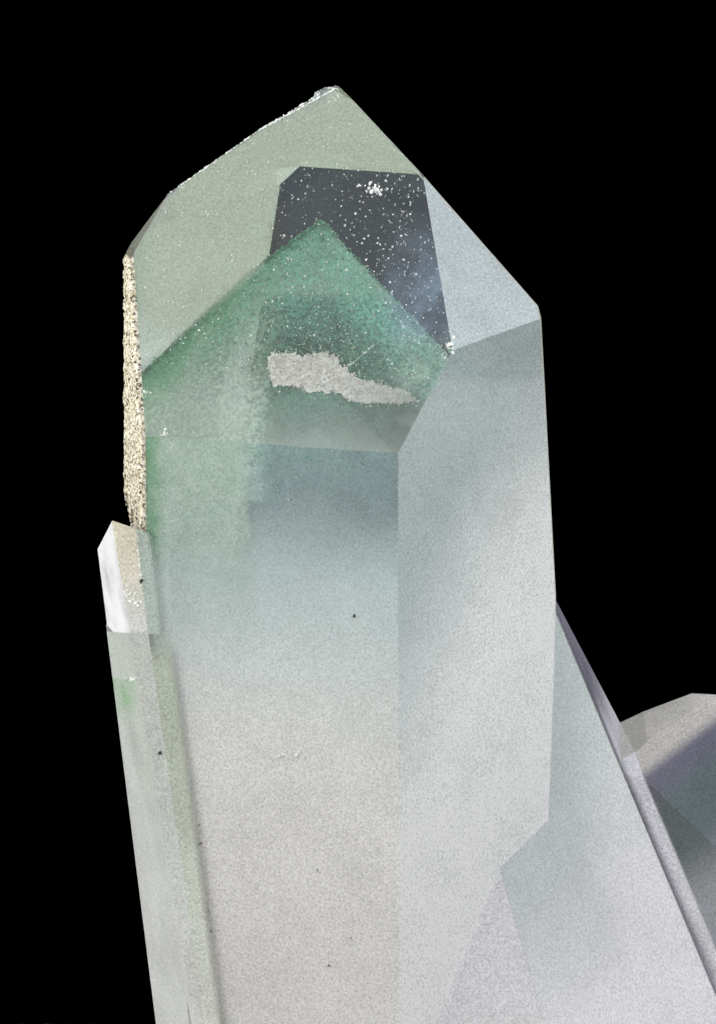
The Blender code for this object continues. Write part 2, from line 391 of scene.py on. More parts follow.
class Graph:
    """Short way to place and join nodes."""

    def __init__(self, tree):
        self.tree = tree

    def start_at(self, place):
        """Set the place that patterns and distances are read at."""
        self.place = place
        self.x, self.y, self.z = self.add("ShaderNodeSeparateXYZ", {0: place}).outputs

    def add(self, kind, values=None, **settings):
        node = self.tree.nodes.new(kind)
        for key, value in settings.items():
            setattr(node, key, value)
        for key, value in (values or {}).items():
            if isinstance(value, bpy.types.NodeSocket):
                self.link(value, node.inputs[key])
            else:
                node.inputs[key].default_value = value
        return node

    def link(self, source, target):
        self.tree.links.new(source, target)

    def math(self, operation, a, b, **settings):
        values = {0: a, 1: b}
        return self.add("ShaderNodeMath", values, operation=operation, **settings).outputs[0]

    def plus(self, a, b):
        return self.math("ADD", a, b)

    def minus(self, a, b):
        return self.math("SUBTRACT", a, b)

    def times(self, a, b):
        return self.math("MULTIPLY", a, b)

    def most(self, a, b):
        return self.math("MAXIMUM", a, b)

    def uneven(self, value, spots, amount):
        """A value that a noise shifts to and fro."""
        return self.plus(value, self.times(self.minus(spots, 0.5), amount))

    def ramp(self, value, low, high, start=0.0, end=1.0):
        """Smooth step of a value from low to high, going from start to end."""
        return self.add(
            "ShaderNodeMapRange",
            {"Value": value, "From Min": low, "From Max": high,
             "To Min": start, "To Max": end},
            interpolation_type="SMOOTHSTEP",
        ).outputs["Result"]

    def step(self, length, low, high, start=0.0, end=1.0):
        """The same for a length, between two values in millimetres."""
        return self.ramp(length, low * MM, high * MM, start, end)

    def noise(self, scale, detail=3.0, rough=0.55):
        return self.add(
            "ShaderNodeTexNoise",
            {"Vector": self.place, "Scale": scale, "Detail": detail, "Roughness": rough},
        ).outputs["Fac"]

    def mix(self, share, a, b):
        return self.add("ShaderNodeMix", {0: share, 6: a, 7: b}, data_type="RGBA").outputs[2]

    def blend(self, share, a, b):
        """A mix of two shaders."""
        return self.add("ShaderNodeMixShader", {0: share, 1: a, 2: b}).outputs[0]

    def scale(self, color, amount):
        node = self.add("ShaderNodeVectorMath", {0: color, "Scale": amount}, operation="SCALE")
        return node.outputs[0]

    def along(self, way):
        """How far the place lies in a direction, in metres."""
        values = {0: self.place, 1: way}
        node = self.add("ShaderNodeVectorMath", values, operation="DOT_PRODUCT")
        return node.outputs["Value"]

    def beyond(self, face):
        """How far the place lies outside a crystal face, in metres."""
        return self.minus(self.along(normal_of(face)), face[2] * MM)


def new_tree(name, kind, inputs, outputs):
    """A node group with its sockets, and the graph and ends to build it from."""
    tree = bpy.data.node_groups.new(name, kind)
    for end, sockets in (("INPUT", inputs), ("OUTPUT", outputs)):
        for label, value in sockets.items():
            tree.interface.new_socket(name=label, in_out=end, socket_type="NodeSocket" + value)
    g = Graph(tree)
    return tree, g, g.add("NodeGroupInput").outputs, g.add("NodeGroupOutput").inputs


def milk_cloud_tree():
    """Clouds and grain of milky quartz, and how it thins out with height."""
    numbers = ("Tone Low", "Tone High", "Tilt", "Veil Low", "Veil High", "Most", "Least",
               "Mottle", "Grain")
    tree, g, given, end = new_tree(
        "milk_cloud",
        "ShaderNodeTree",
        {"Place": "Vector", "Low Color": "Color", "High Color": "Color",
         **dict.fromkeys(numbers, "Float")},
        {"Color": "Color", "Grains": "Float", "Share": "Float"},
    )
    g.start_at(given["Place"])
    cloud = g.minus(g.noise(300.0, 4.0, 0.6), 0.5)
    fine = g.minus(g.noise(11000.0, 2.0, 0.6), 0.5)
    height = g.uneven(g.z, g.noise(130.0, 2.0, 0.5), 0.005)
    leaning = g.plus(height, g.times(given["Tilt"], g.x))
    tone = g.ramp(leaning, given["Tone Low"], given["Tone High"])
    lumps = g.plus(1.0, g.times(cloud, given["Mottle"]))
    share = g.ramp(height, given["Veil Low"], given["Veil High"], given["Most"], given["Least"])
    patch = g.plus(1.0, g.times(g.times(cloud, 3.0), given["Mottle"]))
    g.link(g.mix(tone, given["Low Color"], given["High Color"]), end["Color"])
    g.link(g.plus(lumps, g.times(fine, given["Grain"])), end["Grains"])
    g.link(g.math("MULTIPLY", share, patch, use_clamp=True), end["Share"])
    return tree


def flakes_tree():
    """Small plates on points, each turned its own way; most of them are small."""
    tree, g, given, end = new_tree(
        "flakes",
        "GeometryNodeTree",
        {"Geometry": "Geometry", "Sides": "Int", "Smallest": "Float", "Largest": "Float",
         "Thickness": "Float", "Seed": "Int", "Material": "Material"},
        {"Geometry": "Geometry"},
    )
    plate = g.add(
        "GeometryNodeMeshCylinder",
        {"Vertices": given["Sides"], "Radius": 1.0, "Depth": given["Thickness"]},
    )
    turn = g.add(
        "FunctionNodeRandomValue",
        {0: [0.0] * 3, 1: [2.0 * math.pi] * 3, "Seed": given["Seed"]},
        data_type="FLOAT_VECTOR",
    )
    chance = g.add(
        "FunctionNodeRandomValue",
        {2: 0.0, 3: 1.0, "Seed": g.plus(given["Seed"], 7.0)},
        data_type="FLOAT",
    )
    rarely = g.math("POWER", chance.outputs[1], 2.2)
    span = g.minus(given["Largest"], given["Smallest"])
    placed = g.add(
        "GeometryNodeInstanceOnPoints",
        {"Points": given["Geometry"], "Instance": plate.outputs["Mesh"],
         "Rotation": turn.outputs[0],
         "Scale": g.plus(given["Smallest"], g.times(rarely, span))},
    )
    real = g.add("GeometryNodeRealizeInstances", {"Geometry": placed.outputs[0]})
    dressed = g.add(
        "GeometryNodeSetMaterial",
        {"Geometry": real.outputs[0], "Material": given["Material"]},
    )
    g.link(dressed.outputs[0], end["Geometry"])
    return tree


MILK_CLOUD = milk_cloud_tree()
FLAKES = flakes_tree()


def flakes(name, points, smallest, largest, mat, seed, sides=5,
           thickness=0.4):
    """One piece of small plates scattered on the points."""
    mesh = bpy.data.meshes.new(name)
    mesh.from_pydata([point * MM for point in points], [], [])
    obj = new_object(name, mesh)
    mod = obj.modifiers.new("flakes", "NODES")
    mod.node_group = FLAKES
    given = {"Sides": sides, "Smallest": smallest * MM, "Largest": largest * MM,
             "Thickness": thickness, "Seed": seed, "Material": mat}
    for item in FLAKES.interface.items_tree:
        if item.in_out == "INPUT" and item.name in given:
            mod[item.identifier] = given[item.name]
    settle(obj)
    finish_piece(obj, mat)


# Materials

def new_material(name):
    mat = bpy.data.materials.new(name)
    mat.use_nodes = True
    g = Graph(mat.node_tree)
    g.start_at(g.add("ShaderNodeTexCoord").outputs["Object"])
    return mat, g, mat.node_tree.nodes["Principled BSDF"]


def rgb(red, green, blue):
    """Linear colour from the 0 to 255 values that a screen shows."""
    def line(value):
        value /= 255.0
        return value / 12.92 if value <= 0.04045 else ((value + 0.055) / 1.055) ** 2.4
    return (line(red), line(green), line(blue), 1.0)


def paint(g, shader, color, rough):
    g.link(color, shader.inputs["Base Color"])
    shader.inputs["Roughness"].default_value = rough


def clear_quartz():
    """Clear quartz with a faint green tint, its faces very slightly etched."""
    mat, g, shader = new_material("clear_quartz")
    shader.inputs["Base Color"].default_value = (1.0, 1.0, 1.0, 1.0)
    shader.inputs["Transmission Weight"].default_value = 1.0
    shader.inputs["IOR"].default_value = 1.544
    frost = g.ramp(g.noise(120.0, 2.0), 0.35, 0.75, 0.015, 0.05)
    g.link(frost, shader.inputs["Roughness"])
    etch = g.noise(900.0, 4.0, 0.6)
    bump = g.add("ShaderNodeBump", {"Height": etch, "Strength": 0.06, "Distance": 0.00002})
    g.link(bump.outputs[0], shader.inputs["Normal"])
    clear = g.add("ShaderNodeBsdfTransparent", {"Color": (0.97, 0.985, 0.975, 1.0)})
    path = g.add("ShaderNodeLightPath")
    mixed = g.blend(path.outputs["Is Shadow Ray"], shader.outputs[0], clear.outputs[0])
    absorb = g.add(
        "ShaderNodeVolumeAbsorption", {"Color": (0.80, 0.95, 0.86, 1.0), "Density": 12.0}
    )
    output = g.tree.nodes["Material Output"]
    g.link(mixed, output.inputs["Surface"])
    g.link(absorb.outputs[0], output.inputs["Volume"])
    return mat


def sheet_shader(g, shader, color, alpha, through):
    """A thin sheet of fine grains: part sends light back, part lets it through."""
    paint(g, shader, color, 1.0)
    shader.inputs["Specular IOR Level"].default_value = 0.0
    glow = g.add("ShaderNodeBsdfTranslucent", {"Color": color})
    grains = g.blend(through, shader.outputs[0], glow.outputs[0])
    open_air = g.add("ShaderNodeBsdfTransparent")
    whole = g.blend(alpha, open_air.outputs[0], grains)
    g.link(whole, g.tree.nodes["Material Output"].inputs["Surface"])


def milk(name, veil, low_color, high_color=None, tone=(16.0, 32.0), tilt=0.0, mottle=0.16,
         grain=1.30, through=0.30, tint=None, fade=None):
    """Fine bubbles and mica in the quartz: a veil that thickens downwards.

    veil holds the lower height with its share, then the upper height with its share;
    tone holds the heights of the two colours. tint changes the colour and fade the
    share from place to place.
    """
    mat, g, shader = new_material(name)
    cloud = g.add("ShaderNodeGroup", {
        "Place": g.place,
        "Low Color": rgb(*low_color), "High Color": rgb(*(high_color or low_color)),
        "Tone Low": tone[0] * MM, "Tone High": tone[1] * MM, "Tilt": tilt,
        "Veil Low": veil[0] * MM, "Most": veil[1], "Veil High": veil[2] * MM,
        "Least": veil[3], "Mottle": mottle, "Grain": grain,
    }, node_tree=MILK_CLOUD).outputs
    color, share = cloud["Color"], cloud["Share"]
    if tint is not None:
        color = tint(g, color)
    if fade is not None:
        share = fade(g, share)
    sheet_shader(g, shader, g.scale(color, cloud["Grains"]), share, through)
    return mat


def green_edge_share(g):
    """Green mica just under the left edge of the front face, with a paler fringe."""
    shifted = g.uneven(g.x, g.noise(900.0, 3.0, 0.6), 0.0012)
    dense = g.times(g.step(shifted, -7.75, -6.80, 0.92, 0.0), g.step(g.z, 32.0, 33.8))
    wide = g.times(g.step(shifted, -4.0, -3.0, 0.88, 0.0), g.step(g.z, 28.0, 35.8))
    return dense, wide


def green_near_left_edge(g, color):
    """Tints the front face where the green mica shines through."""
    dense, wide = green_edge_share(g)
    spots = g.ramp(g.noise(1500.0, 4.0, 0.7), 0.30, 0.70)
    color = g.mix(wide, color, g.mix(spots, rgb(162, 186, 166), rgb(188, 204, 192)))
    return g.mix(dense, color, g.mix(spots, rgb(92, 148, 104), rgb(124, 172, 136)))


def more_near_left_edge(g, share):
    """Thickens the veil where the green mica lies in it."""
    return g.most(share, g.most(*green_edge_share(g)))


def green_below_top(g, color):
    """Green stain on the small crystal's left side, below a fine growth line."""
    level = g.along((0.0, 0.292, 0.956))
    share = g.times(g.step(level, 23.2, 24.3), g.step(level, 25.10, 25.25, 1.0, 0.0))
    share = g.times(share, g.step(g.x, -8.75, -8.1, 1.0, 0.0))
    spots = g.ramp(g.noise(1100.0, 3.0, 0.6), 0.3, 0.65, 0.2, 0.85)
    return g.mix(g.times(share, spots), color, rgb(138, 168, 134))


def painted_shade_near_tall(g, color):
    """Painted shade: the leaning crystal is painted darker and bluer close to the tall one,
    where the tall crystal shades it.
    """
    near = g.most(g.beyond(TALL["front right"]), g.beyond(TALL["right"]))
    # rgb(168, 178, 184) is the colour of the painted shade
    return g.mix(g.step(near, 0.2, 3.4, 0.75, 0.0), color, rgb(168, 178, 184))


# The film of mica reaches a little beyond the phantom's back faces
FILM = {
    **PHANTOM,
    "back left": (-138.0, 35.6, 28.28),
    "lower left": (-110.0, 41.6, 31.28),
}


def film_corner(*others):
    """The point where two other faces of the film meet its front face."""
    faces = [FILM[key] for key in ("large front", *others)]
    rows = [normal_of(face) for face in faces]
    return Matrix(rows).inverted() @ Vector([face[2] for face in faces])


# The film's front face: its normal, distance and corners
FILM_FRONT = normal_of(FILM["large front"])
FILM_REACH = FILM["large front"][2]
FILM_POINT = film_corner("back left", "right")
FILM_KNEE = film_corner("back left", "lower left")
FILM_LEFT = film_corner("lower left", "left side")
FILM_RIGHT = film_corner("right", "small front right")


def away_from(start, end, inner):
    """The direction in the front face that leads away from an edge of it."""
    way = FILM_FRONT.cross(end - start).normalized()
    return way if way.dot(inner - start) > 0.0 else -way


ACROSS_LEFT = away_from(FILM_POINT, FILM_KNEE, FILM_RIGHT)
ACROSS_RIGHT = away_from(FILM_POINT, FILM_RIGHT, FILM_KNEE)


def green_film():
    """Film of fine green mica over the older tip: dense along its two front edges,
    thin towards its foot, and pale on the far side, where little mica settled."""
    mat, g, shader = new_material("fuchsite_film")
    fine = g.noise(6500.0, 3.0, 0.7)
    cloud = g.noise(420.0, 4.0, 0.6)
    left, right = (
        g.uneven(g.minus(g.along(way), way.dot(FILM_POINT) * MM), cloud, 0.0016)
        for way in (ACROSS_LEFT, ACROSS_RIGHT)
    )
    ragged = g.uneven(g.x, cloud, 0.0030)

    color = g.mix(g.step(g.x, -6.5, -1.0), rgb(142, 200, 164), rgb(136, 198, 176))
    color = g.mix(g.step(g.x, 1.5, 4.0, 0.0, 0.8), color, rgb(152, 196, 184))
    paler = g.times(g.step(left, 1.0, 3.2, 0.0, 0.9), g.step(ragged, -3.2, -1.8, 1.0, 0.0))
    color = g.mix(paler, color, rgb(198, 214, 200))
    color = g.scale(color, g.ramp(g.ramp(cloud, 0.2, 0.8), 0.0, 1.0, 0.90, 1.10))
    color = g.scale(color, g.ramp(fine, 0.34, 0.66, 0.76, 1.26))
    deep = g.times(g.step(left, 0.1, 2.0, 0.95, 0.0), g.step(g.x, -7.0, -2.5, 1.0, 0.15))
    color = g.mix(deep, color, rgb(62, 156, 96))
    back = g.step(g.y, 3.9, 4.5)
    color = g.mix(back, color, rgb(226, 234, 216))

    thin = g.ramp(cloud, 0.35, 0.65, 0.10, 0.42)
    near_left = g.step(left, 0.8, 4.6, 0.96, thin)
    near_right = g.step(right, 1.0, 2.8, 0.92, thin)
    left_side = g.step(ragged, -3.3, -1.9, 0.92, thin)
    share = g.most(g.most(near_left, left_side), near_right)
    share = g.times(share, g.step(right, -0.05, 0.4, 0.45, 1.0))
    foot = g.plus(g.z, g.step(ragged, -3.3, -1.9, 1.8 * MM, 0.0))
    share = g.times(share, g.step(foot, 34.8, 39.0))
    share = g.times(share, g.ramp(fine, 0.36, 0.64, 0.62, 1.0))
    pale = g.step(g.z, 38.8, 39.6, 0.0, 0.92)
    alpha = g.add("ShaderNodeMix", {0: back, 2: share, 3: pale}, data_type="FLOAT").outputs[0]
    bare = g.step(g.beyond(FILM["right"]), -0.08, -0.01, 1.0, 0.0)
    sheet_shader(g, shader, color, g.times(alpha, bare), 0.3)
    return mat


def mottled(name, dark, light, rough=0.6, scale=3000.0, detail=2.0, blend=0.7, edge=0.35):
    """Two close colours in small patches; grains differ a little from one to the next."""
    mat, g, shader = new_material(name)
    tone = g.ramp(g.noise(scale, detail, blend), edge, 1.0 - edge)
    paint(g, shader, g.mix(tone, rgb(*dark), rgb(*light)), rough)
    return mat


def step_material():
    """Warm white patch of bare quartz on a step of the green layer."""
    mat, g, shader = new_material("pale_step")
    tone = g.ramp(g.noise(5200.0, 3.0, 0.7), 0.34, 0.66)
    wide = g.ramp(g.noise(700.0, 3.0, 0.6), 0.3, 0.7)
    color = g.mix(tone, rgb(226, 224, 218), rgb(255, 254, 250))
    color = g.mix(wide, color, rgb(236, 236, 230))
    alpha = g.ramp(g.noise(3400.0, 3.0, 0.7), 0.30, 0.50, 0.66, 0.96)
    alpha = g.times(alpha, g.step(g.x, 0.4, 3.4, 1.0, 0.5))
    sheet_shader(g, shader, color, alpha, 0.05)
    return mat


def crust_material():
    """Tan granular crust where another crystal leaned on the left face."""
    mat, g, shader = new_material("tan_crust")
    grain = g.ramp(g.noise(6200.0, 3.0, 0.7), 0.38, 0.62)
    dark = g.ramp(g.noise(7000.0, 2.0, 0.6), 0.54, 0.60)
    base = g.mix(grain, rgb(174, 163, 128), rgb(242, 237, 220))
    paint(g, shader, g.mix(dark, base, rgb(66, 54, 30)), 0.75)
    return mat


# Clear quartz: one piece for both solids of the frame

NEIGHBOURS = (SMALL_LOWER, SMALL_UPPER, LEANING, STUBBY)

quartz = new_object("quartz", crystal_mesh(TALL))
combine(quartz, [crystal_mesh(faces) for faces in NEIGHBOURS] + [foot_mesh()], "UNION")
worn = quartz.modifiers.new("worn edges", "BEVEL")
worn.width = 0.04 * MM
worn.segments = 2
worn.limit_method = "ANGLE"
worn.angle_limit = math.radians(18.0)
settle(quartz)
combine(quartz, [knob_mesh()], "UNION")
OUTWARD = Vector((-0.55, 0.25, 0.80))
chips = [
    chip_mesh(LEFT_SHOULDER.lerp(POINT, share) + OUTWARD * shift, radius, 11 + i)
    for i, (share, radius, shift) in enumerate(EDGE_CHIPS)
]
chips += [
    chip_mesh((x, y, z), radius, 41 + i) for i, (x, y, z, radius) in enumerate(CORNER_CHIPS)
]
combine(quartz, chips, "DIFFERENCE")
finish_piece(quartz, clear_quartz())
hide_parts("quartz_crystals", "quartz_tip")


# Milky zones

COOL = (240, 246, 248)
WARM = (250, 246, 242)

# How far veils lie under their faces and frosted skins lie on them, and the height
# that both start at
SKIN = -0.06
FROST = 0.012
RIM = 0.06

# How nearly a face of the mesh has to face the same way as the crystal face it is on
FACING = 0.9995


def veil(name, faces, keep, share, low_color, high_color=None, tone=(16.0, 32.0),
         growth=SKIN, low=RIM, apart=(), **looks):
    """Only the named faces of a crystal, as an open milky sheet. apart holds the
    crystals that it is parted from, and their growth."""
    mat = milk(name + "_milk", share, low_color, high_color, tone, **looks)
    obj = new_object(name, crystal_mesh(faces, low, growth))
    if apart:
        holes = [crystal_mesh(other, -1.0, gap) for other, gap in apart]
        combine(obj, holes, "DIFFERENCE")
    wanted = [normal_of(faces[key]) for key in keep]
    bm = bmesh.new()
    bm.from_mesh(obj.data)
    spare = [f for f in bm.faces if not any(f.normal.dot(way) > FACING for way in wanted)]
    bmesh.ops.delete(bm, geom=spare, context="FACES")
    bm.to_mesh(obj.data)
    bm.free()
    finish_piece(obj, mat)


def milk_heart(name, offset, top, share):
    """An older, cloudy growth stage of the tall crystal, its tip at the given height."""
    faces = {}
    drop = TIP_TOP - top
    for key, (direction, slope, distance) in TALL.items():
        inset = drop * math.sin(math.radians(slope)) if slope > 20.0 else offset
        faces[key] = (direction, slope, distance - inset)
    obj = new_object(name, crystal_mesh(faces, 0.35))
    finish_piece(obj, milk(name + "_milk", share, WARM, COOL))


def tip_fade(g, share):
    """The haze in the tip is stronger left of and above the clear window, and thinner
    over the phantom."""
    share = g.times(share, g.step(g.x, -6.0, -2.5, 0.3, 1.0))
    spots = g.minus(g.noise(800.0, 3.0, 0.6), 0.5)
    ragged = g.plus(g.x, g.times(spots, 0.0008))
    ragged = g.minus(ragged, g.times(g.minus(g.z, 0.0472), 0.196))
    over_film = g.minus(g.z, g.times(g.x, 0.785))
    left = g.times(g.step(ragged, -2.75, -2.35, 0.80, 0.0), g.step(over_film, 46.6, 47.3))
    above = g.step(g.z, 48.16, 48.32, 0.0, 0.78)
    lower_right = g.times(g.step(g.x, 0.6, 4.0, 0.0, 0.24), g.step(g.z, 44.0, 47.0, 1.0, 0.0))
    lower_right = g.times(lower_right, g.ramp(spots, -0.16, 0.16, 0.5, 1.5))
    return g.most(share, g.most(g.most(left, above), lower_right))


def tip_tint(g, color):
    """Over the clear window the haze is bluish."""
    over = g.times(g.step(g.x, -2.5, -2.0), g.step(g.z, 47.9, 48.2, 1.0, 0.0))
    return g.mix(g.times(over, g.step(g.z, 41.5, 43.0)), color, rgb(172, 198, 226))


veil("front_veil", TALL, ["front"], (22.0, 0.96, 38.9, 0.36), (244, 240, 236),
     (190, 218, 222), (24.0, 38.0), tint=green_near_left_edge, fade=more_near_left_edge)
veil("tip_haze", TALL, ["large front tip"], (37.9, 0.34, 42.4, 0.035), (200, 212, 202),
     (172, 181, 164), (40.0, 43.0), mottle=0.30, tint=tip_tint, fade=tip_fade)
veil("right_veil", TALL, ["front right"], (33.0, 0.97, 40.0, 0.94), (252, 252, 254),
     (182, 194, 196), (17.0, 30.0), tilt=-1.6)
veil("right_tip_veil", TALL, ["small front right tip"], (38.0, 0.95, 50.0, 0.92),
     (228, 236, 242), (210, 218, 224), (36.0, 44.0), tilt=-0.5)
veil("far_right_veil", TALL, ["right", "right upper", "right lower", "right tip"],
     (33.0, 0.97, 40.0, 0.80), COOL, (216, 222, 208), (26.0, 31.0))
veil("left_veil", TALL, ["left", "left lower"], (33.0, 0.97, 40.0, 0.60), WARM, COOL)
veil("left_tip_veil", TALL, ["small left tip"], (33.0, 0.75, 40.0, 0.75),
     (190, 188, 176), mottle=0.5)
veil("back_veil", TALL, ["back", "back left"], (25.0, 0.96, 32.5, 0.0), WARM, COOL)
milk_heart("milky_heart", 2.4, 37.0, (27.0, 0.97, 34.5, 0.04))
milk_heart("milky_heart_deep", 4.4, 34.5, (26.0, 1.0, 32.5, 0.10))


# A thin ledge of pale mica from the phantom's foot to the back face: it falls away as
# the line of sight from the front does
LEDGE_SLOPE = math.degrees(math.atan2(1.0, 0.4455))
LEDGE_FACES = {
    **TALL,
    "ledge": (165.0, LEDGE_SLOPE, 38.63),
    "foot of the phantom": (-15.0, 0.0, -7.24),
}
veil("pale_ledge", LEDGE_FACES, ["ledge"], (30.0, 0.9, 40.0, 0.9), (216, 226, 204),
     growth=-0.01, low=0.0)

foot_milk = milk("foot_milk", (1.0, 0.96, 6.0, 0.85), (240, 238, 234), (214, 217, 216),
                 (0.0, 6.0), mottle=0.9)
finish_piece(new_object("foot_veil", foot_mesh(0.12)), foot_milk)

# Skins of the side crystals, parted from the inside of the tall one
SIDE = (24.0, 0.96, 38.0, 0.92)
IN_TALL = (TALL, -0.08)


def across_small(g, slant):
    """Distance to the right on the small crystal, along its slanting edges."""
    return g.plus(g.x, g.times(g.z, slant))


def fade_right(g, share):
    """Lets the beige face run out into the tall crystal's front."""
    return g.times(share, g.step(across_small(g, 0.10), -4.45, -4.15, 1.0, 0.0))


def pale_right(g, color):
    """Beyond its edge the beige face takes on the grey green of the tall crystal."""
    return g.mix(g.step(across_small(g, 0.10), -4.90, -4.75), color, rgb(166, 178, 170))


def band_fade(g, share):
    """The olive band is narrower than its face and fades out at its top."""
    share = g.times(share, g.step(across_small(g, 0.119), -3.60, -3.15, 1.0, 0.0))
    return g.times(share, g.step(g.z, 28.6, 29.9, 1.0, 0.2))


# The small crystal's white face ends on a level line, where the skin below it starts
UPPER_SKIN = {**SMALL_UPPER, "white end": (0.0, -73.0, -27.12)}
LOWER_SKIN = {**SMALL_LOWER, "top": (180.0, 73.0, 27.12)}

veil("small_white_face", UPPER_SKIN, ["left", "back left"], (24.0, 0.97, 38.0, 0.97),
     (213, 213, 214), growth=FROST, apart=[IN_TALL], mottle=0.5, grain=0.3, through=0.05)
veil("small_point_veil", SMALL_UPPER, ["left point", "back left point"],
     (24.0, 0.85, 38.0, 0.85), (200, 190, 164), (214, 208, 190), (33.0, 35.0), -0.10, 29.9,
     [IN_TALL], mottle=0.6)
veil("small_tip_front_frost", UPPER_SKIN, ["front", "front right"], SIDE, (200, 201, 198),
     (200, 194, 174), (30.5, 34.2), FROST, apart=[IN_TALL], mottle=0.25, through=0.1,
     tint=pale_right, fade=fade_right)
veil("small_left_frost", LOWER_SKIN, ["left", "back left"], SIDE, (180, 182, 178),
     (172, 178, 171), (16.0, 30.0), FROST, apart=[IN_TALL], through=0.1,
     tint=green_below_top)
veil("small_front_frost", LOWER_SKIN, ["front"], SIDE, (178, 180, 176), (172, 176, 170),
     (16.0, 30.0), FROST, apart=[IN_TALL], through=0.1, tint=green_below_top)
veil("small_band_frost", LOWER_SKIN, ["front right"], SIDE, (184, 187, 179),
     (160, 168, 154), (14.0, 27.0), FROST, apart=[IN_TALL], through=0.1, fade=band_fade)


def strip_tint(g, color):
    """The leaning crystal's edge strip is darker next to its broad face."""
    near = g.step(g.beyond(LEANING["front right"]), -0.7, -0.1, 0.0, 0.8)
    return g.mix(near, color, rgb(98, 97, 110))


# The broad face carries painted shade where it comes close to the tall crystal
veil("leaning_face_veil", LEANING, ["front right", "left", "top", "back left"], SIDE,
     (230, 227, 233), (206, 220, 216), (13.0, 26.0), apart=[IN_TALL], tilt=-0.2,
     tint=painted_shade_near_tall)
veil("leaning_left_veil", LEANING, ["front"], SIDE, (254, 248, 246), (244, 241, 246),
     (9.0, 14.0), apart=[IN_TALL])
veil("leaning_right_frost", LEANING, ["right"], SIDE, (204, 203, 211), (120, 119, 132),
     (21.0, 25.0), FROST, apart=[IN_TALL, (STUBBY, -0.02)], mottle=0.4, tint=strip_tint)
veil("leaning_back_veil", LEANING, ["back right", "back right upper", "back top"], SIDE,
     (216, 216, 224), (190, 194, 202), (16.0, 26.0), apart=[IN_TALL])


def below_ridge(g):
    """Height above the line at which the short crystal's cloudy ridge ends."""
    rise = g.times(g.math("MINIMUM", g.x, 16.9 * MM), 0.71)
    return g.minus(g.plus(g.z, g.times(g.y, 0.306)), rise)


def stubby_tint(g, color):
    """Under the pale ridge the quartz turns lavender, then dark, then paler again."""
    height = below_ridge(g)
    color = g.mix(g.step(height, 5.0, 8.6), color, rgb(112, 124, 128))
    color = g.mix(g.step(height, 10.4, 12.2), color, rgb(126, 124, 142))
    return g.mix(g.step(height, 12.3, 13.2), color, rgb(216, 211, 208))


def stubby_fade(g, share):
    """The ridge is cloudy, the rest a little clearer."""
    return g.times(share, g.step(below_ridge(g), 12.0, 13.0, 0.82, 1.0))


UPPER_FACES = ["left top", "flat top", "right top", "back upper", "back left upper"]
veil("stubby_top_veil", STUBBY, UPPER_FACES, (10.0, 0.92, 20.0, 0.92), (250, 245, 241),
     apart=[IN_TALL], mottle=0.3)
veil("stubby_veil", STUBBY, [key for key in STUBBY if key not in UPPER_FACES],
     (10.0, 0.92, 20.0, 0.92), (206, 208, 216), apart=[IN_TALL], tint=stubby_tint,
     fade=stubby_fade)


def near_leaning(g, share):
    """A band along the contact with the leaning crystal."""
    return g.times(share, g.step(g.beyond(LEANING["right"]), 0.62, 0.80, 0.95, 0.0))


def contact_tint(g, color):
    """The band has a dark line where it meets the leaning crystal."""
    near = g.step(g.beyond(LEANING["right"]), 0.03, 0.16, 0.5, 0.0)
    return g.mix(near, color, rgb(146, 146, 158))


veil("contact_frost", STUBBY, ["front", "front upper"], SIDE, (242, 242, 248),
     (240, 240, 248), (12.0, 22.0), FROST, apart=[IN_TALL, (LEANING, -0.02)], mottle=0.3,
     tint=contact_tint, fade=near_leaning)


# Fuchsite phantom

film = new_object("fuchsite_film", crystal_mesh(FILM, 35.3))
finish_piece(film, green_film())
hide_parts("fuchsite_phantom")


def from_edges(point):
    """Distances of a point from the film's left and right edges."""
    inward = point - FILM_POINT
    return ACROSS_LEFT.dot(inward), ACROSS_RIGHT.dot(inward)


def grain_share(point):
    """Grains crowd along the phantom's edges and thin out in its middle."""
    left, right = from_edges(point)
    crowd = math.exp(-left / 0.8) + 0.30 * math.exp(-abs(right - 0.5) / 0.5)
    return min(1.0, 0.10 + crowd) * min(1.0, max(0.0, (point.z - 37.6) / 1.6))


def middle_share(point):
    """The thin middle of the film, where single golden grains stand out."""
    left, right = from_edges(point)
    gap = abs(left - 4.0) / 2.4 + abs(right - 3.4) / 2.6
    return max(0.0, 1.0 - 0.5 * gap) if point.z > 38.8 else 0.0


GREEN = mottled("green_mica", (84, 150, 112), (158, 206, 178))
DEEP_GREEN = mottled("deep_green_mica", (40, 118, 72), (86, 156, 112))
DUST = mottled("mica_dust", (150, 162, 160), (236, 242, 236), 0.5)
GOLDEN = mottled("golden_mica", (116, 148, 116), (208, 218, 176))
STEP_GRAIN = mottled("step_grain", (212, 202, 194), (248, 240, 234))
WHITE = mottled("white_mica", (226, 232, 226), (255, 255, 252), 0.4)
DARK = mottled("dark_speck", (24, 24, 20), (52, 48, 38))

rng = random.Random(5)
grains = face_points(FILM, "large front", 4200, rng, (-0.10, 0.04), grain_share, 37.6)
flakes("green_grains", grains, 0.016, 0.050, GREEN, 3)
grains = face_points(FILM, "large front", 760, rng, (-0.2, -0.05), middle_share, 38.6)
flakes("golden_grains", grains, 0.016, 0.046, GOLDEN, 4)


def fringe_points(start, end, count, rise, rng):
    """Points that stand up in small tufts along an edge of the film."""
    away = -away_from(start, end, FILM_POINT.lerp(FILM_RIGHT, 0.5))
    points = []
    for _ in range(count):
        share = rng.random()
        tuft = 0.5 + 0.5 * noise.noise(Vector((share * 46.0, start.z, 1.0)))
        height = rng.random() ** 1.7 * rise * (0.25 + 1.5 * tuft ** 2) - 0.05
        point = start.lerp(end, share) + away * height
        points.append(point + FILM_FRONT * rng.uniform(-0.10, 0.14))
    return points


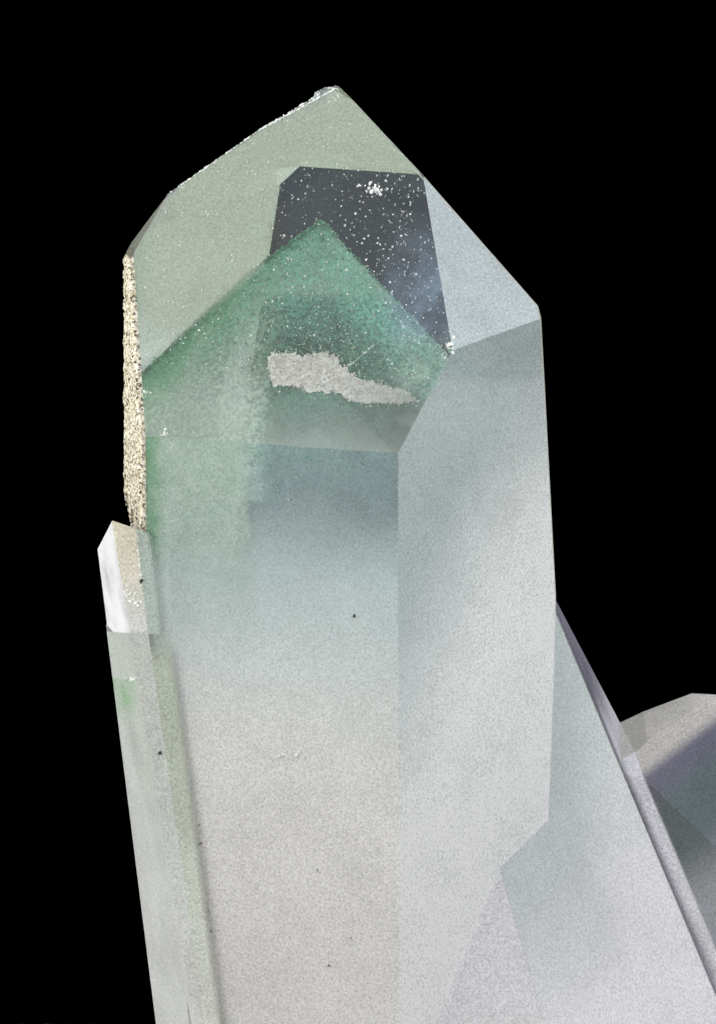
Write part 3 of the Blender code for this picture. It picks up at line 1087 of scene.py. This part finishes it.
fringe = fringe_points(FILM_POINT, FILM_KNEE, 900, 0.18, rng)
fringe += fringe_points(FILM_KNEE, FILM_LEFT, 900, 0.30, rng)
flakes("green_fringe", fringe, 0.022, 0.080, DEEP_GREEN, 5, 4, 0.5)
ragged = fringe_points(FILM_POINT, FILM_RIGHT, 620, 0.16, rng)
ragged += fringe_points(FILM_POINT, FILM_POINT.lerp(FILM_RIGHT, 0.12), 120, 0.20, rng)
flakes("right_fringe", ragged, 0.016, 0.055, GREEN, 12, 4, 0.5)
halo = cloud_points((-2.75, 0.42, 39.20), (0.75, 0.30, 0.95), 260, rng)
halo = [point + FILM_FRONT * (FILM_REACH + 0.10 - FILM_FRONT.dot(point)) for point in halo]
halo += line_points((-3.9, -5.60, 38.02), (-0.8, -6.42, 37.88), 190, rng, 0.11)
flakes("green_halo", halo, 0.014, 0.046, DEEP_GREEN, 13, 4, 0.5)


def step_mesh(lift):
    """The pale step: a thin flat patch with a ragged outline, lying on the film."""
    rng = random.Random(9)
    bm = bmesh.new()
    verts = []
    for start, end in zip(STEP, STEP[1:] + STEP[:1]):
        start, end = Vector(start), Vector(end)
        steps = max(1, round((end - start).length / 0.09))
        for step in range(steps):
            point = start.lerp(end, step / steps)
            point += jitter(rng, 0.055)
            point -= FILM_FRONT * (FILM_FRONT.dot(point) - FILM_REACH - lift)
            verts.append(bm.verts.new(point * MM))
    face = bm.faces.new(verts)
    if face.normal.dot(FILM_FRONT) < 0.0:
        face.normal_flip()
    bmesh.ops.triangulate(bm, faces=[face])
    return mesh_from(bm)


finish_piece(new_object("pale_step", step_mesh(0.14)), step_material())


def step_points(count, rng, lift, spill):
    """Points on the film inside the step's outline, a few of them just outside it."""
    side, up = face_basis(FILM_FRONT)
    flat = [(side.dot(corner), up.dot(corner)) for corner in STEP]
    spans = [(min(values), max(values)) for values in zip(*flat)]
    points = []
    while len(points) < count:
        a, b = [rng.uniform(*span) for span in spans]
        within = False
        for (a0, b0), (a1, b1) in zip(flat, flat[1:] + flat[:1]):
            if (b0 > b) != (b1 > b) and a < (a1 - a0) * (b - b0) / (b1 - b0) + a0:
                within = not within
        if within:
            a += rng.gauss(0.0, spill)
            b += rng.gauss(0.0, spill)
            height = FILM_REACH + lift + rng.uniform(-0.03, 0.06)
            points.append(side * a + up * b + FILM_FRONT * height)
    return points


flakes("step_grains", step_points(2600, rng, 0.17, 0.11), 0.014, 0.046, STEP_GRAIN, 9)


# White mica, specks and marks in the clear tip

def glitter_share(point):
    """Mica flakes lie thickest over the right shoulder of the phantom."""
    right = from_edges(point)[1]
    shoulder = math.exp(-abs(point.x - 2.6) / 1.3) if -4.5 < right < 0.8 else 0.0
    return min(1.0, 0.16 + shoulder)


glitter = face_points(TALL, "large front tip", 520, rng, (0.02, 0.7), glitter_share, 40.8)
flakes("white_glitter", glitter, 0.014, 0.062, WHITE, 6)
dust = face_points(TALL, "large front tip", 1100, rng, (0.01, 0.04), None, 40.8)
flakes("white_dust", dust, 0.010, 0.042, WHITE, 7)
on_film = face_points(FILM, "large front", 420, rng, (-0.3, -0.1), None, 38.9)
flakes("white_grains", on_film, 0.012, 0.040, DUST, 8)


def rim_points(start, end, reach, count, rng):
    """Points on the sharp edges of the quartz that run close to a line."""
    bm = bmesh.new()
    bm.from_mesh(quartz.data)
    span = end - start
    near = []
    for edge in bm.edges:
        if len(edge.link_faces) != 2 or edge.calc_face_angle() < 0.3:
            continue
        first, last = edge.verts[0].co / MM, edge.verts[1].co / MM
        middle = (first + last) / 2.0
        share = (middle - start).dot(span) / span.length_squared
        if -0.03 < share < 1.0 and (middle - start.lerp(end, share)).length < reach:
            near.append((first, last))
    bm.free()
    lengths = [(last - first).length for first, last in near]
    return [
        first.lerp(last, rng.random()) + jitter(rng, 0.012)
        for first, last in rng.choices(near, lengths, k=count)
    ]


rim = rim_points(LEFT_SHOULDER, POINT, 0.65, 620, rng)
flakes("white_rim", rim, 0.014, 0.050, WHITE, 10)
for i, (middle, half, count, smallest, largest) in enumerate(WHITE_MARKS):
    flakes("white_mark_%d" % i, cloud_points(middle, half, count, rng),
           smallest, largest, WHITE, 20 + i)
for i, (start, end, count) in enumerate(SCRATCHES):
    flakes("scratch_%d" % i, line_points(start, end, count, rng, 0.012),
           0.018, 0.045, WHITE, 40 + i)
for i, (x, y, z, radius) in enumerate(SPECKS):
    flakes("dark_speck_%d" % i, cloud_points((x, y, z), (0.05, 0.02, 0.05), 4, rng),
           radius * 0.6, radius, DARK, 60 + i)


# Tan crust on the left side

CRUST_LOW = 33.8
CRUST_HIGH = 46.5


def crust_mesh():
    """Granules where another crystal leaned, trimmed by the crystal's faces."""
    normal = normal_of(TALL["left"])
    distance = TALL["left"][2]
    along = UP.cross(normal)
    bm = bmesh.new()
    grid = bmesh.ops.create_grid(bm, x_segments=120, y_segments=200, size=0.5)
    middle = (CRUST_LOW + CRUST_HIGH) / 2.0
    for vert in grid["verts"]:
        across = -0.55 + vert.co.x * 9.0
        ragged = noise.noise(Vector((across * 0.9, 7.0, 2.0)))
        ragged += 0.4 * noise.noise(Vector((across * 3.1, 1.0, 5.0)))
        up = middle + vert.co.y * (CRUST_HIGH - CRUST_LOW + 0.4)
        up += 2.2 * ragged * (0.5 - vert.co.y) ** 3
        cell = noise.voronoi(Vector((across * 6.0, up * 6.0, 3.0)))[0][0]
        lump = noise.noise(Vector((across * 0.5, up * 0.4, 9.0)))
        coarse = noise.noise(Vector((across * 1.9, up * 1.9, 3.0)))
        relief = 0.07 + 0.11 * max(0.0, 1.0 - 1.5 * cell) + 0.05 * coarse + 0.04 * lump
        side = normal * (distance + relief) + along * across
        vert.co = Vector((side.x, side.y, up)) * MM
    back = bmesh.ops.extrude_face_region(bm, geom=bm.faces[:])
    for vert in back["geom"]:
        if isinstance(vert, bmesh.types.BMVert):
            vert.co -= normal * (vert.co.dot(normal) - (distance - 0.16) * MM)
    for key, face in TALL.items():
        if key not in ("left", "left lower"):
            cut(bm, normal_of(face), face[2] - 0.03)
    bmesh.ops.recalc_face_normals(bm, faces=bm.faces[:])
    return mesh_from(bm)


finish_piece(new_object("tan_crust", crust_mesh()), crust_material())


# Floor, camera and light

def table_top(name, width, depth, back, mat):
    """A thin pale board with rounded corners that ends just behind the cluster."""
    bm = bmesh.new()
    bmesh.ops.create_cube(bm, size=1.0)
    for vert in bm.verts:
        vert.co.x *= width
        vert.co.y = (vert.co.y - 0.5) * depth + back
        vert.co.z = (vert.co.z - 0.5) * 0.008 - 0.00002
    upright = [e for e in bm.edges if abs(e.verts[0].co.z - e.verts[1].co.z) > 0.001]
    bmesh.ops.bevel(bm, geom=upright, offset=0.012, segments=8, affect="EDGES")
    obj = new_object(name, mesh_from(bm))
    obj.data.materials.append(mat)
    return obj


TABLE_BACK = 0.028
pale_table = mottled("pale_table", (214, 212, 208), (224, 222, 219), 0.7, 60.0, 3.0, 0.5, 0.3)
floor = table_top("floor", 0.30, 0.22, TABLE_BACK, pale_table)

camera_data = bpy.data.cameras.new("camera")
camera = new_object("camera", camera_data)
camera.location = (0.00083, -0.28689, 0.12131)
camera.rotation_euler = (math.radians(73.0), 0.0, 0.0)
camera_data.lens = 253.1
camera_data.sensor_width = 36.0
camera_data.clip_start = 0.01
camera_data.clip_end = 5.0
camera_data.dof.use_dof = False
scene.camera = camera

AIM = Vector((0.002, 0.0, 0.028))


def lamp(name, place, width, height, radiance, color=(1.0, 1.0, 1.0)):
    """A soft box. Its power follows from the brightness of its face."""
    data = bpy.data.lights.new(name, "AREA")
    data.shape = "RECTANGLE"
    data.size = width
    data.size_y = height
    data.energy = radiance * math.pi * width * height
    data.color = color
    obj = new_object(name, data)
    obj.location = place
    obj.rotation_mode = "QUATERNION"
    obj.rotation_quaternion = (AIM - Vector(place)).to_track_quat("-Z", "Y")


lamp("key", (0.24, -0.26, 0.30), 0.30, 0.30, 5.2)
lamp("fill", (-0.32, -0.22, 0.18), 0.30, 0.34, 4.2)
lamp("top", (-0.14, -0.14, 0.42), 0.36, 0.32, 1.2, (0.94, 0.99, 1.06))
lamp("right", (0.34, -0.10, 0.14), 0.25, 0.30, 3.0)
lamp("left", (-0.40, -0.02, 0.12), 0.25, 0.30, 3.4)
lamp("back", (0.05, 0.30, 0.32), 0.36, 0.22, 4.0)

world = bpy.data.worlds.new("dark_room")
world.use_nodes = True
world.node_tree.nodes["Background"].inputs["Color"].default_value = (0.0, 0.0, 0.0, 1.0)
scene.world = world

scene.view_settings.view_transform = "Standard"
scene.cycles.use_denoising = True
scene.cycles.use_adaptive_sampling = True
scene.cycles.adaptive_threshold = 0.06
scene.cycles.max_bounces = 11
scene.cycles.transmission_bounces = 10
scene.cycles.glossy_bounces = 6
scene.cycles.diffuse_bounces = 2
scene.cycles.transparent_max_bounces = 24
scene.cycles.sample_clamp_indirect = 4.0
scene.cycles.caustics_refractive = False
scene.cycles.caustics_reflective = False
